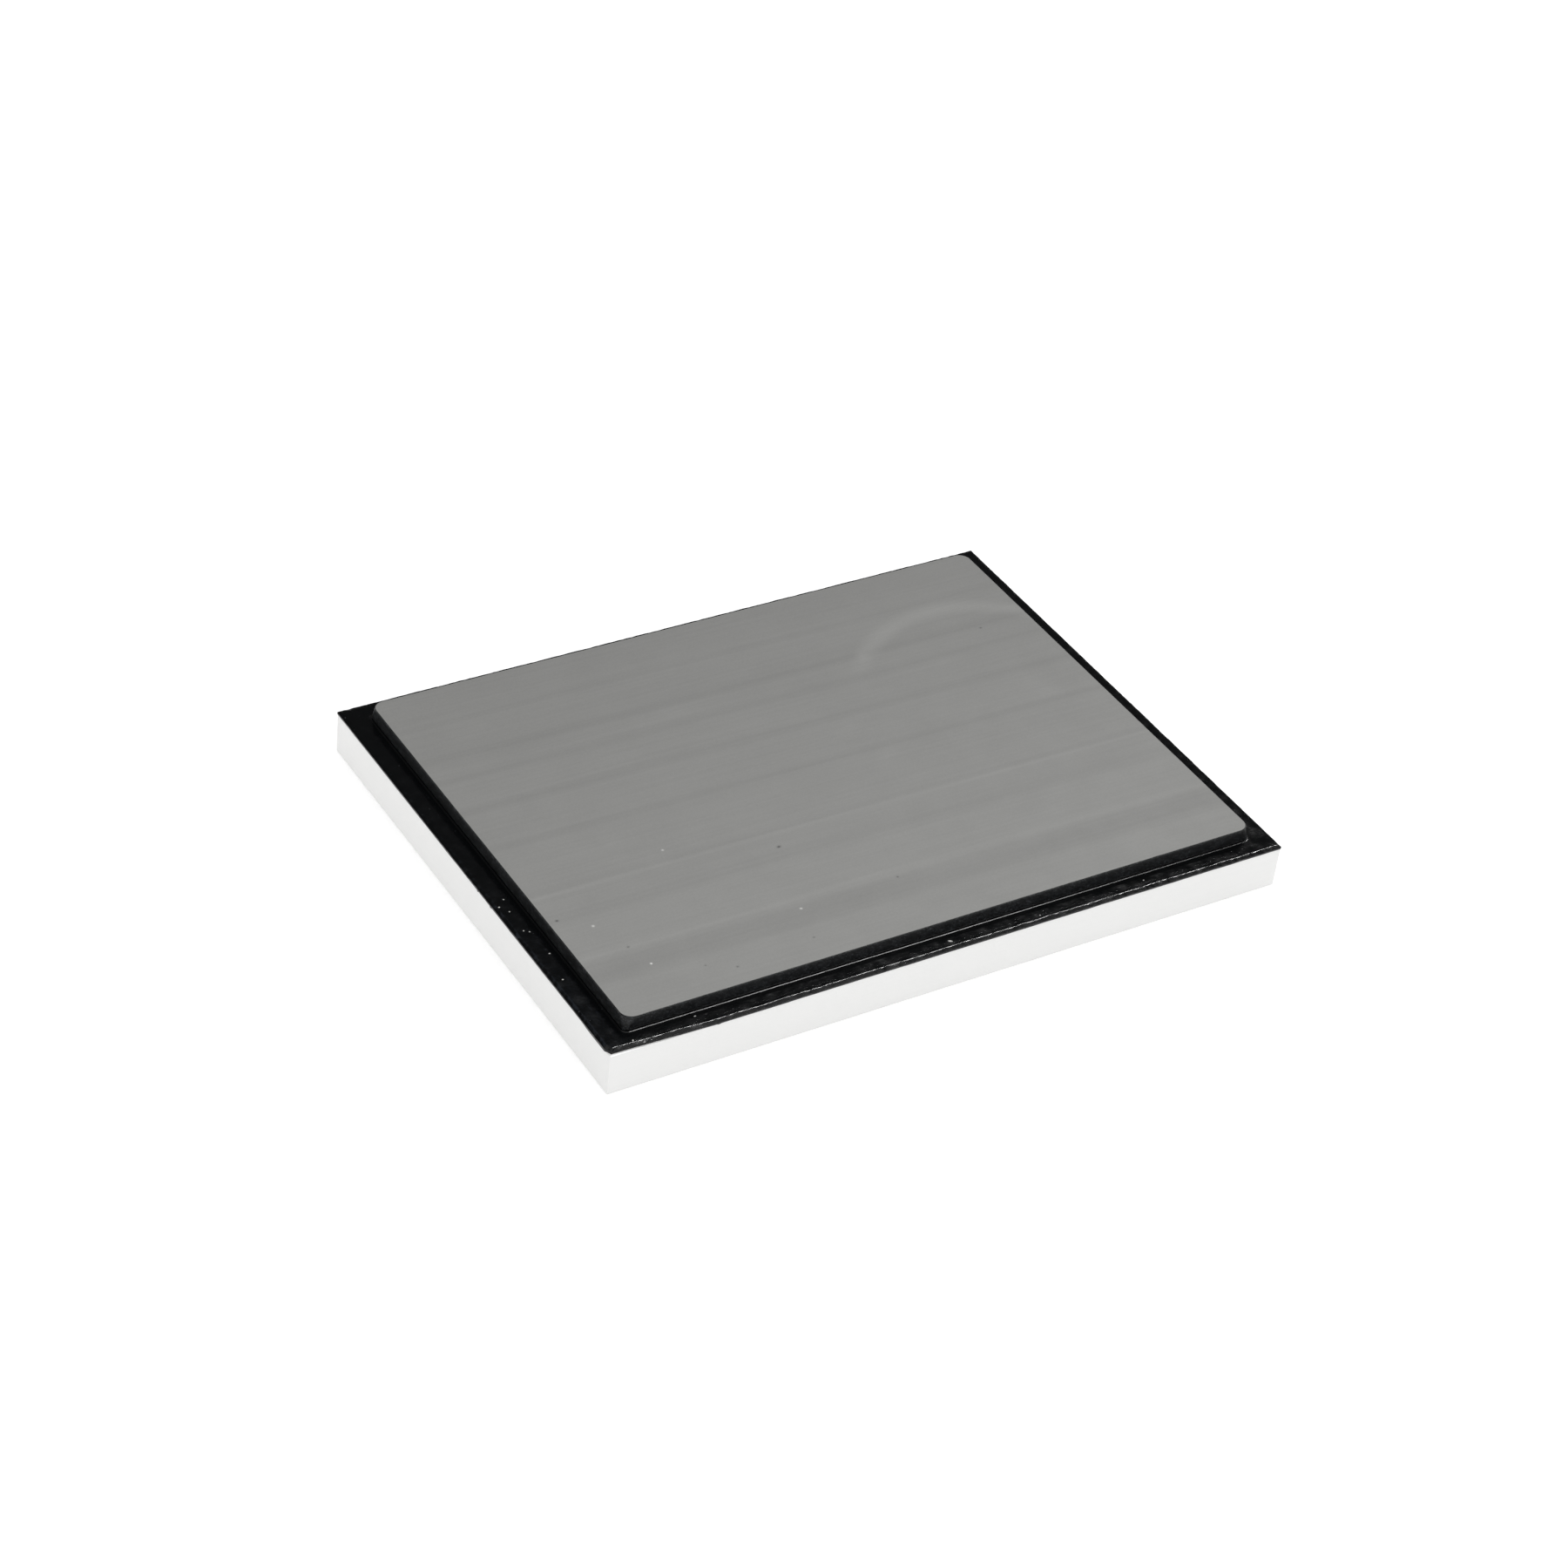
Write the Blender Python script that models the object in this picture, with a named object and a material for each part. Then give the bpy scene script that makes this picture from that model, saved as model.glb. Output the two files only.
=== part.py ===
"""Leatherworking slab: a thin ground granite plate on a glossy black bed, backed by a white board.

From the bench up the layers are a white base board, an adhesive film, a black bed with a rounded rim,
a second adhesive film and the granite plate, with a sealing bead round the plate's foot.
The origin is the centre of the underside. +X runs along the long side, -Y is the front and +Z is up.
All sizes are in metres.
"""

import math

import bmesh
import bpy

# The whole block: 12 x 9 x 1 inches.
BLOCK_LENGTH = 0.3048
BLOCK_WIDTH = 0.2286
BLOCK_HEIGHT = 0.0254

# Heights of the two joints between layers, each the top of the layer below.
BOARD_TOP = 0.0178
BED_TOP = 0.0194

# Each joint holds an adhesive film with a small air gap above and below it.
CONTACT_GAP = 0.0003
FILM_THICKNESS = 0.00015
JOINT_HEIGHT = FILM_THICKNESS + 2 * CONTACT_GAP
FILM_SETBACK = 0.0015

# White base board: crisp, with lightly broken edges.
BOARD_CORNER_RADIUS = 0.0010
BOARD_EDGE_BREAK = 0.0003

# Black bed: its rim falls away in a wide, low round above a short upright edge.
BED_CORNER_RADIUS = 0.0014
BED_EDGE_HEIGHT = 0.0002
BED_RIM_WIDTH = 0.0016

# Granite plate: upright sides, corners tight at the foot and rounder at the face, an eased arris on top.
SLAB_LENGTH = 0.2850
SLAB_WIDTH = 0.2122
SLAB_FOOT_RADIUS = 0.0020
SLAB_FACE_RADIUS = 0.0050
SLAB_ARRIS = 0.0005

# Bead of sealant round the plate's foot, a quarter round in section.
BEAD_SIZE = 0.0007

CORNER_STEPS = 8
ROUND_STEPS = 4
SMOOTH_BELOW_DEG = 35

# Colours are linear RGB, followed by roughness. Nothing here is metal.
BOARD_FINISH = ((0.86, 0.86, 0.85), 0.50)
FILM_FINISH = ((0.045, 0.042, 0.036), 0.60)
BED_FINISH = ((0.009, 0.010, 0.012), 0.12)
BEAD_FINISH = ((0.008, 0.008, 0.009), 0.10)
SLAB_FINISH = ((0.230, 0.230, 0.224), 0.55)


def clear_scene():
    for item in list(bpy.data.objects):
        bpy.data.objects.remove(item, do_unlink=True)


def finish_material(name, finish):
    """A plain Principled material from a (colour, roughness) pair."""
    colour, roughness = finish
    material = bpy.data.materials.new(name)
    material.use_nodes = True
    shader = material.node_tree.nodes["Principled BSDF"]
    shader.inputs["Base Color"].default_value = (*colour, 1.0)
    shader.inputs["Roughness"].default_value = roughness
    shader.inputs["Metallic"].default_value = 0.0
    return material


def outline(length, width, radius):
    """A rectangle with round corners, anticlockwise from above, as (x, y) points."""
    points = []
    for quarter, (sx, sy) in enumerate(((1, 1), (-1, 1), (-1, -1), (1, -1))):
        centre_x = sx * (length / 2 - radius)
        centre_y = sy * (width / 2 - radius)
        for step in range(CORNER_STEPS + 1):
            angle = math.radians(90 * (quarter + step / CORNER_STEPS))
            points.append((centre_x + radius * math.cos(angle), centre_y + radius * math.sin(angle)))
    return points


def add_ring(bm, length, width, radius, height):
    return [bm.verts.new((x, y, height)) for x, y in outline(length, width, radius)]


def bridge(bm, lower, upper):
    """Joins two rings of equal length with quads that face outwards when upper lies above or inside lower."""
    count = len(lower)
    for i in range(count):
        j = (i + 1) % count
        bm.faces.new((lower[i], lower[j], upper[j], upper[i]))


def add_part(name, bm, finish, underside, root):
    """Turns bm into a named object whose local origin is the centre of its own underside."""
    mesh = bpy.data.meshes.new(name)
    bm.to_mesh(mesh)
    bm.free()
    mesh.shade_smooth()
    mesh.set_sharp_from_angle(angle=math.radians(SMOOTH_BELOW_DEG))
    mesh.materials.append(finish_material(name, finish))
    part = bpy.data.objects.new(name, mesh)
    bpy.context.scene.collection.objects.link(part)
    part.parent = root
    part.location = (0.0, 0.0, underside)
    return part


def plate(length, width, levels):
    """A closed plate lofted through levels, each (height, inset from the plan size, corner radius)."""
    bm = bmesh.new()
    rings = [
        add_ring(bm, length - 2 * inset, width - 2 * inset, radius, height)
        for height, inset, radius in levels
    ]
    for lower, upper in zip(rings, rings[1:]):
        bridge(bm, lower, upper)
    bm.faces.new(reversed(rings[0]))
    bm.faces.new(rings[-1])
    return bm


def quarter_round(width, height):
    """(inward, upward) steps from the outer edge of an elliptical quarter round to its crown."""
    steps = []
    for step in range(1, ROUND_STEPS + 1):
        angle = math.radians(90 * step / ROUND_STEPS)
        steps.append((width * (1 - math.cos(angle)), height * math.sin(angle)))
    return steps


def base_board(root):
    """The white board, with its four corners and its long edges just broken."""
    radius, edge = BOARD_CORNER_RADIUS, BOARD_EDGE_BREAK
    levels = [
        (0.0, edge, radius - edge),
        (edge, 0.0, radius),
        (BOARD_TOP - edge, 0.0, radius),
        (BOARD_TOP, edge, radius - edge),
    ]
    return add_part("base_board", plate(BLOCK_LENGTH, BLOCK_WIDTH, levels), BOARD_FINISH, 0.0, root)


def adhesive_film(name, length, width, joint_below, root):
    """A thin film that fills one joint, set back from the edges of the layer above it."""
    bm = plate(
        length - 2 * FILM_SETBACK,
        width - 2 * FILM_SETBACK,
        [(0.0, 0.0, BOARD_CORNER_RADIUS), (FILM_THICKNESS, 0.0, BOARD_CORNER_RADIUS)],
    )
    return add_part(name, bm, FILM_FINISH, joint_below + CONTACT_GAP, root)


def black_bed(root):
    """The black bed as large as the board, its rim rounding off from the flat ledge to a short edge."""
    underside = BOARD_TOP + JOINT_HEIGHT
    rim_height = BED_TOP - underside - BED_EDGE_HEIGHT
    levels = [(0.0, 0.0, BED_CORNER_RADIUS), (BED_EDGE_HEIGHT, 0.0, BED_CORNER_RADIUS)]
    levels += [
        (BED_EDGE_HEIGHT + up, inward, BED_CORNER_RADIUS)
        for inward, up in quarter_round(BED_RIM_WIDTH, rim_height)
    ]
    return add_part("black_bed", plate(BLOCK_LENGTH, BLOCK_WIDTH, levels), BED_FINISH, underside, root)


def granite_plate(root):
    """The granite plate: its corners open from a tight radius at the foot to a rounder one at the face."""
    underside = BED_TOP + JOINT_HEIGHT
    arris_start = BLOCK_HEIGHT - underside - SLAB_ARRIS
    levels = [(0.0, 0.0, SLAB_FOOT_RADIUS), (arris_start, 0.0, SLAB_FACE_RADIUS)]
    levels += [
        (arris_start + up, inward, SLAB_FACE_RADIUS - inward)
        for inward, up in quarter_round(SLAB_ARRIS, SLAB_ARRIS)
    ]
    return add_part("granite_plate", plate(SLAB_LENGTH, SLAB_WIDTH, levels), SLAB_FINISH, underside, root)


def foot_bead(root):
    """A closed ring of quarter-round section that runs round the plate's foot, on the ledge of the bed."""
    section = [(0.0, 0.0), (BEAD_SIZE, 0.0)]
    section += [(BEAD_SIZE - inward, up) for inward, up in quarter_round(BEAD_SIZE, BEAD_SIZE)]
    bm = bmesh.new()
    rings = []
    for outward, height in section:
        offset = CONTACT_GAP + outward
        ring = add_ring(
            bm, SLAB_LENGTH + 2 * offset, SLAB_WIDTH + 2 * offset, SLAB_FOOT_RADIUS + offset, height
        )
        rings.append(ring)
    for lower, upper in zip(rings, rings[1:] + rings[:1]):
        bridge(bm, lower, upper)
    return add_part("foot_bead", bm, BEAD_FINISH, BED_TOP + CONTACT_GAP, root)


def main():
    clear_scene()
    root = bpy.data.objects.new("granite_slab", None)
    bpy.context.scene.collection.objects.link(root)
    base_board(root)
    adhesive_film("bed_adhesive_film", BLOCK_LENGTH, BLOCK_WIDTH, BOARD_TOP, root)
    black_bed(root)
    adhesive_film("plate_adhesive_film", SLAB_LENGTH, SLAB_WIDTH, BED_TOP, root)
    granite_plate(root)
    foot_bead(root)


main()
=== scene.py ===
"""The looks of a leatherworking slab: a ground granite plate on a black resin bed over a white board.

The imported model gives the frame: the origin is the centre of the underside, +X runs along the long
side, -Y is the front, +Z is up, and everything is in metres. Each layer is a closed surface swept
round a rectangle with round corners, so that its rim, its ripples and its small faults are real shape.
"""

import logging
import math
from dataclasses import dataclass, field
from enum import Enum
from typing import ClassVar

import bpy
import numpy as np
from mathutils import Matrix, Vector


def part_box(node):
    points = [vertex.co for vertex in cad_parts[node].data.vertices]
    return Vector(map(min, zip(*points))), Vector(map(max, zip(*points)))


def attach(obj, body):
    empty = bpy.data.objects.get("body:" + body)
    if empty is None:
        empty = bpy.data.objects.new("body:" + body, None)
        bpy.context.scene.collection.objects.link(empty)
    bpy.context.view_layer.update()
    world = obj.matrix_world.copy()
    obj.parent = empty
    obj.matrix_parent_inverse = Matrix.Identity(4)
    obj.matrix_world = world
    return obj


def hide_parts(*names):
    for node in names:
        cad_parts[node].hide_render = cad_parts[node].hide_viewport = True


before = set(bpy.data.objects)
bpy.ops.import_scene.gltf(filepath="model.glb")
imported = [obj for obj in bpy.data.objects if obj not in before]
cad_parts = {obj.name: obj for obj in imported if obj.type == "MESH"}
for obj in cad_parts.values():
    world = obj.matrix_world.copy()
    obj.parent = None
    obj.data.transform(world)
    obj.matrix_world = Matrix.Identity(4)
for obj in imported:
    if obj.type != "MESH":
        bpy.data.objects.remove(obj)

MM = 0.001
TURN = 2.0 * math.pi
BODY = "root"
LOG = logging.getLogger("slab")
SHARP_FROM = math.radians(50)
LEAST_RADIUS = 0.05 * MM
WHITE = (1.0, 1.0, 1.0, 1.0)

# Nearly all values of a noise texture lie in this span.
NOISE_SPAN = (0.3, 0.7)

# Heights of the faces and joints, from the bench up. Each joint is as thick as its film.
BOARD_TOP = 18.0 * MM
BED_FOOT = 18.2 * MM
LEDGE = 19.4 * MM
PLATE_FOOT = 19.6 * MM
FACE = 25.4 * MM

Tree = bpy.types.NodeTree
Node = bpy.types.Node
Socket = bpy.types.NodeSocket
Span = tuple[float, float]


# ------------------------------------------------------------------ shapes

class Side(Enum):
    """The four sides of the slab, each with its outward direction from above."""

    RIGHT = (1.0, 0.0)
    BACK = (0.0, 1.0)
    LEFT = (-1.0, 0.0)
    FRONT = (0.0, -1.0)


@dataclass(frozen=True)
class Outline:
    """A rectangle with round corners, cut into columns that every ring of a piece shares.

    A column keeps one outward normal and one anchor, its place between the corner centres from -1 to 1.
    A ring point is anchor * (half size - inset - radius) + normal * radius.
    """

    length: float
    width: float
    radius: float
    spacing: float = 0.5 * MM
    corner_steps: int = 16

    def columns(self) -> tuple[np.ndarray, np.ndarray]:
        """Anchors and normals of all columns, anticlockwise from the front end of the right side.

        Returns:
            Two arrays of shape (columns, 2).
        """
        anchors, normals = [], []
        for quarter, side in enumerate(Side):
            outward = np.array(side.value)
            ahead = np.array([-outward[1], outward[0]])
            run = (self.width, self.length)[quarter % 2] - 2 * self.radius
            place = np.linspace(-1, 1, max(2, round(run / self.spacing)) + 1)[1:-1, None]
            anchors.append(outward + place * ahead)
            normals.append(np.repeat(outward[None], len(place), axis=0))
            angle = np.radians(90 * (quarter + np.linspace(0, 1, self.corner_steps + 1)))
            anchors.append(np.repeat((outward + ahead)[None], len(angle), axis=0))
            normals.append(np.stack([np.cos(angle), np.sin(angle)], axis=1))
        return np.concatenate(anchors), np.concatenate(normals)

    def travel(self) -> tuple[np.ndarray, float]:
        """Distance of each column along the outline, and the whole way round.

        Returns:
            The distances, of shape (columns,), and the perimeter.
        """
        points = self.ring(np.zeros(1), np.full(1, self.radius), np.zeros(1))[0, :, :2]
        steps = np.linalg.norm(np.roll(points, -1, axis=0) - points, axis=1)
        return np.concatenate([[0.0], np.cumsum(steps[:-1])]), float(steps.sum())

    def travel_at(self, side: Side, place: float) -> float:
        """Distance along the outline of a point on one side.

        Args:
            side: the side that the point is on.
            place: its x on the front and back, its y on the left and right.

        Returns:
            The distance, in the same count as travel's.
        """
        anchors, normals = self.columns()
        on_side = np.isclose(normals @ np.array(side.value), 1.0)
        points = self.ring(np.zeros(1), np.full(1, self.radius), np.zeros(1))[0, on_side]
        along = points[:, 1] if side in (Side.RIGHT, Side.LEFT) else points[:, 0]
        order = np.argsort(along)
        return float(np.interp(place, along[order], self.travel()[0][on_side][order]))

    def ring(self, inset: np.ndarray, radius: np.ndarray, height: np.ndarray) -> np.ndarray:
        """Points of several rings at once.

        Args:
            inset: how far each ring lies inside the outline, of shape (rings,) or (rings, columns).
            radius: corner radius of each ring, in the same shapes.
            height: z of each ring, in the same shapes.

        Returns:
            An array of shape (rings, columns, 3).
        """
        anchors, normals = self.columns()
        inset, radius, height = (
            np.broadcast_to(a if a.ndim == 2 else a[:, None], (len(a), len(anchors)))
            for a in (inset, radius, height)
        )
        half = np.array([self.length, self.width]) / 2
        core = half[None, None] - inset[..., None] - radius[..., None]
        flat = anchors[None] * core + normals[None] * radius[..., None]
        return np.concatenate([flat, height[..., None]], axis=2)


@dataclass(frozen=True)
class Waves:
    """Random waves: a sum of cosines of random pitch, heading and phase.

    The pitch lies between the shortest and the longest distance between crests, evenly by its logarithm.
    """

    shortest: float
    longest: float
    seed: int
    count: int = 36

    def height(
        self, travel: np.ndarray, perimeter: float, across: np.ndarray | float = 0.0
    ) -> np.ndarray:
        """Height of the waves, which close on themselves round an outline.

        Each wave makes a whole number of turns round it, and all together have a root mean square of 1.

        Args:
            travel: distance along the outline, in any shape that broadcasts with across.
            perimeter: the whole way round the outline.
            across: distance at right angles to the outline.

        Returns:
            The wave height at each point.
        """
        draw = np.random.default_rng(self.seed)
        pitch = np.exp(draw.uniform(*np.log((self.shortest, self.longest)), self.count))
        heading = draw.uniform(-0.5, 0.5, self.count) * math.pi
        phase = draw.uniform(0, TURN, self.count)
        turns = np.maximum(1, np.round(perimeter / pitch * np.cos(heading)))
        total = np.zeros(np.broadcast(travel, across).shape)
        for turn, lateral, start in zip(turns, np.sin(heading) / pitch, phase):
            total += np.cos(TURN * (turn * travel / perimeter + lateral * across) + start)
        return total * math.sqrt(2 / self.count)


def gap_round(travel: np.ndarray, centre: float, perimeter: float) -> np.ndarray:
    """Signed distance along the outline from centre, the shorter way round."""
    return (travel - centre + perimeter / 2) % perimeter - perimeter / 2


def quarter_round(steps: int) -> tuple[np.ndarray, np.ndarray]:
    """A quarter of a unit circle, from its outer edge up to its crown.

    Returns:
        Inward and upward shares, 0 to 1: 1 - cos and sin of an angle that goes from 0 to 90 degrees.
    """
    angle = np.linspace(0, math.pi / 2, steps + 1)
    return 1 - np.cos(angle), np.sin(angle)


def flowed_edge(
    width: np.ndarray, tip: float, fall: np.ndarray, bend: np.ndarray, steps: int
) -> tuple[np.ndarray, np.ndarray]:
    """The edge of a poured layer: a tight round, then a straight fall, then a bend that runs out level.

    A round of radius r that starts upright reaches inward r * (1 - sin a) and upward r * cos a by the time
    that its own slope angle is a. The bend turns from the fall's angle back to level in the same way.

    Args:
        width: how far in the surface becomes level, of shape (1, columns).
        tip: radius of the tight round at the outer edge.
        fall: angle of the straight fall, in the same shape as width.
        bend: radius of the bend, in the same shape.
        steps: points on each round.

    Returns:
        Inward and upward distances from the foot of the tight round to the level, of shape
        (2 * steps + 2, columns).
    """
    share = np.linspace(0, 1, steps + 1)[:, None]
    turned = math.pi / 2 + (fall - math.pi / 2) * share
    tip_in, tip_up = tip * (1 - np.sin(turned)), tip * np.cos(turned)
    left = fall * (1 - share)
    bend_in = width - bend * np.sin(left)
    straight = bend_in[:1] - tip_in[-1:]
    bend_up = tip_up[-1:] + straight * np.tan(fall) + bend * (np.cos(left) - np.cos(fall))
    return np.concatenate([tip_in, bend_in]), np.concatenate([tip_up, bend_up])


def add_object(name: str, data: bpy.types.ID) -> bpy.types.Object:
    """Puts a mesh, a lamp or a camera into the scene as a new object."""
    made = bpy.data.objects.new(name, data)
    bpy.context.scene.collection.objects.link(made)
    return made


def closed_mesh(name: str, rings: np.ndarray, ring_shaped: bool = False) -> bpy.types.Object:
    """Builds one closed object from rings of points.

    Quads join each ring to the next. The first and the last ring close on a pole at their centre, or on
    each other where the piece is itself ring-shaped.

    Args:
        name: the piece's name.
        rings: points of shape (rings, columns, 3), from the underside outwards, up and back in.
        ring_shaped: whether the last ring joins the first instead of closing on a pole.

    Returns:
        The new object, smooth-shaded, with its place in its mesh.
    """
    count, columns = rings.shape[:2]
    index = np.arange(count * columns).reshape(count, columns)
    lower = index if ring_shaped else index[:-1]
    upper = np.roll(index, -1, axis=0)[: len(lower)]
    quads = np.stack([lower, np.roll(lower, -1, 1), np.roll(upper, -1, 1), upper], axis=-1)
    faces = quads.reshape(-1, 4).tolist()
    points = rings.reshape(-1, 3)
    if not ring_shaped:
        poles = np.stack([rings[0].mean(0), rings[-1].mean(0)])
        points = np.concatenate([points, poles])
        first, last = index[0], index[-1]
        under = np.full(columns, count * columns)
        faces += np.stack([under, np.roll(first, -1), first], axis=1).tolist()
        faces += np.stack([last, np.roll(last, -1), under + 1], axis=1).tolist()
    mesh = bpy.data.meshes.new(name)
    mesh.from_pydata(points.tolist(), [], faces)
    mesh.validate()
    mesh.shade_smooth()
    mesh.set_sharp_from_angle(angle=SHARP_FROM)
    return add_object(name, mesh)


# ------------------------------------------------------------------ nodes and colours

def linear(code: str) -> tuple[float, float, float]:
    """Turns an sRGB hex colour such as '#8c8c8a' into linear red, green and blue."""
    shares = np.array([int(code[i:i + 2], 16) for i in (1, 3, 5)]) / 255
    low, high = shares / 12.92, ((shares + 0.055) / 1.055) ** 2.4
    return tuple(float(v) for v in np.where(shares <= 0.04045, low, high))


def add_node(tree: Tree, kind: str, links: dict | None = None, **settings: object) -> Node:
    """Adds one node with its settings and links.

    Args:
        tree: the node tree that it goes into.
        kind: the node's type, without its ShaderNode prefix.
        links: sockets to join, by this node's input name or index.
        settings: the node's own properties by name, and "inputs", the values of unlinked inputs.

    Returns:
        The new node.
    """
    node = tree.nodes.new("ShaderNode" + kind)
    values = settings.pop("inputs", {})
    for name, value in settings.items():
        setattr(node, name, value)
    for name, value in values.items():
        node.inputs[name].default_value = value
    for name, socket in (links or {}).items():
        tree.links.new(socket, node.inputs[name])
    return node


def computed(tree: Tree, operation: str, *terms: Socket | float) -> Socket:
    """The result of one operation on terms that are sockets or plain numbers."""
    numbers = {i: term for i, term in enumerate(terms) if isinstance(term, (int, float))}
    links = {i: term for i, term in enumerate(terms) if i not in numbers}
    return add_node(tree, "Math", links, operation=operation, inputs=numbers).outputs["Value"]


def spread(
    tree: Tree, value: Socket, source: Span, target: Span = (0.0, 1.0), kind: str = "LINEAR"
) -> Socket:
    """Maps a value from one span to another and holds it at the ends."""
    ends = {"From Min": source[0], "From Max": source[1], "To Min": target[0], "To Max": target[1]}
    made = add_node(tree, "MapRange", {"Value": value}, interpolation_type=kind, inputs=ends)
    return made.outputs["Result"]


def varied(tree: Tree, place: Socket, size: float, span: Span, detail: float = 2.0) -> Socket:
    """A soft random value over the surface.

    Args:
        tree: the material's node tree.
        place: coordinates on the surface.
        size: distance across one patch, in the units of place.
        span: the values where the noise is low and where it is high.
        detail: octaves of finer noise.

    Returns:
        The socket with the value.
    """
    noise = add_node(tree, "TexNoise", {"Vector": place}, inputs={"Scale": 1 / size, "Detail": detail})
    return spread(tree, noise.outputs["Fac"], NOISE_SPAN, span)


def mixed(tree: Tree, share: Socket, base: Socket | str, tint: str) -> Socket:
    """Mixes a colour, as a socket or a hex code, towards a tint by a share from 0 to 1."""
    links, colours = {"Factor": share}, {"B": (*linear(tint), 1.0)}
    if isinstance(base, str):
        colours["A"] = (*linear(base), 1.0)
    else:
        links["A"] = base
    return add_node(tree, "Mix", links, data_type="RGBA", inputs=colours).outputs["Result"]


def scaled(tree: Tree, colour: str, share: Socket) -> Socket:
    """Makes a colour brighter or darker by a varying share."""
    made = add_node(tree, "VectorMath", {"Scale": share}, operation="SCALE", inputs={0: linear(colour)})
    return made.outputs["Vector"]


def bumped(tree: Tree, height: Socket, depth: float, under: Socket | None = None) -> Socket:
    """The normal of a surface with a fine relief, laid over another relief where one is given."""
    links = {"Height": height} if under is None else {"Height": height, "Normal": under}
    return add_node(tree, "Bump", links, inputs={"Distance": depth}).outputs["Normal"]


# ------------------------------------------------------------------ finishes

@dataclass(frozen=True)
class Mark:
    """A soft elliptical mark on a level surface: it adds its gain at the middle and nothing at its rim."""

    x: float
    y: float
    half_length: float
    half_width: float
    gain: float
    turn: float = 0.0
    z: float = FACE

    def add(self, tree: Tree, place: Socket, tone: Socket | float) -> Socket:
        """Adds the mark to a value: a spherical gradient in the mark's own turned, scaled space.

        Returns:
            The socket with the new value.
        """
        own = add_node(
            tree,
            "Mapping",
            {"Vector": place},
            vector_type="TEXTURE",
            inputs={
                "Location": (self.x, self.y, self.z),
                "Rotation": (0.0, 0.0, math.radians(self.turn)),
                "Scale": (self.half_length, self.half_width, self.half_length),
            },
        ).outputs["Vector"]
        ball = add_node(tree, "TexGradient", {"Vector": own}, gradient_type="QUADRATIC_SPHERE")
        return computed(tree, "MULTIPLY_ADD", ball.outputs["Fac"], self.gain, tone)


@dataclass(frozen=True)
class RingMark:
    """An arc left by the foot of a round tool or a can. It fades in over two shares of its radius."""

    x: float
    y: float
    radius: float
    width: float
    gain: float
    z: float = FACE
    fade: Span = (0.45, 0.8)

    def add(self, tree: Tree, place: Socket, tone: Socket | float) -> Socket:
        """Adds the arc: bright where the distance from its centre is its radius, on the far side only.

        Returns:
            The socket with the new value.
        """
        centre = {1: (self.x, self.y, self.z)}
        own = add_node(tree, "VectorMath", {0: place}, operation="SUBTRACT", inputs=centre).outputs["Vector"]
        away = add_node(tree, "VectorMath", {0: own}, operation="LENGTH").outputs["Value"]
        off = computed(tree, "ABSOLUTE", computed(tree, "SUBTRACT", away, self.radius))
        line = spread(tree, off, (0.0, self.width), (self.gain, 0.0), kind="SMOOTHSTEP")
        ahead = add_node(tree, "SeparateXYZ", {"Vector": own}).outputs["Y"]
        start, end = (share * self.radius for share in self.fade)
        fade = spread(tree, ahead, (start, end), kind="SMOOTHSTEP")
        return computed(tree, "MULTIPLY_ADD", line, fade, tone)


@dataclass(frozen=True)
class Finish:
    """A real material and how its surface was made. Each kind adds its own pattern to the shader."""

    name: str
    colour: str
    roughness: float
    ior: float
    sheen: float = 0.5
    glow: float = 0.0

    def material(self) -> bpy.types.Material:
        """Makes the Blender material: a Principled shader with its constants, then the pattern."""
        made = bpy.data.materials.new(self.name)
        made.use_nodes = True
        tree = made.node_tree
        shader = tree.nodes["Principled BSDF"]
        constants = {
            "Base Color": (*linear(self.colour), 1.0),
            "Roughness": self.roughness,
            "IOR": self.ior,
            "Metallic": 0.0,
            "Specular IOR Level": self.sheen,
            "Emission Strength": self.glow,
        }
        for name, value in constants.items():
            shader.inputs[name].default_value = value
        place = add_node(tree, "TexCoord").outputs["Object"]
        for name, socket in self.pattern(tree, place).items():
            tree.links.new(socket, shader.inputs[name])
        return made

    def pattern(self, tree: Tree, place: Socket) -> dict[str, Socket]:
        """The surface's own pattern. A plain finish has none.

        Args:
            tree: the material's node tree.
            place: Object coordinates, in metres.

        Returns:
            The sockets that vary over the surface, by the name of the shader's input.
        """
        return {}

    def uneven_gloss(self, tree: Tree, place: Socket, size: float, by: float, detail: float = 2.0) -> Socket:
        """Roughness that wanders to both sides of the finish's own."""
        return varied(tree, place, size, (self.roughness - by, self.roughness + by), detail)


@dataclass(frozen=True)
class SawnPlasticBoard(Finish):
    """White closed-cell PVC board, sawn and scraped: even and satin, with faint saw lines along its sides."""

    saw_line: float = 0.9 * MM
    line_length: float = 40 * MM
    line_depth: float = 0.006 * MM
    line_shade: float = 0.012
    scrape: float = 9 * MM
    scrape_gloss: float = 0.05

    def pattern(self, tree: Tree, place: Socket) -> dict[str, Socket]:
        """Saw lines lie level round the sides: noise that is long in x and y and short in z."""
        scale = (1 / self.line_length, 1 / self.line_length, 1 / self.saw_line)
        stretched = add_node(tree, "Mapping", {"Vector": place}, inputs={"Scale": scale}).outputs["Vector"]
        lines = varied(tree, stretched, 1.0, (1.0 - self.line_shade, 1.0), 3.0)
        return {
            "Base Color": scaled(tree, self.colour, lines),
            "Roughness": self.uneven_gloss(tree, place, self.scrape, self.scrape_gloss),
            "Normal": bumped(tree, lines, self.line_depth / self.line_shade),
        }


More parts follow.
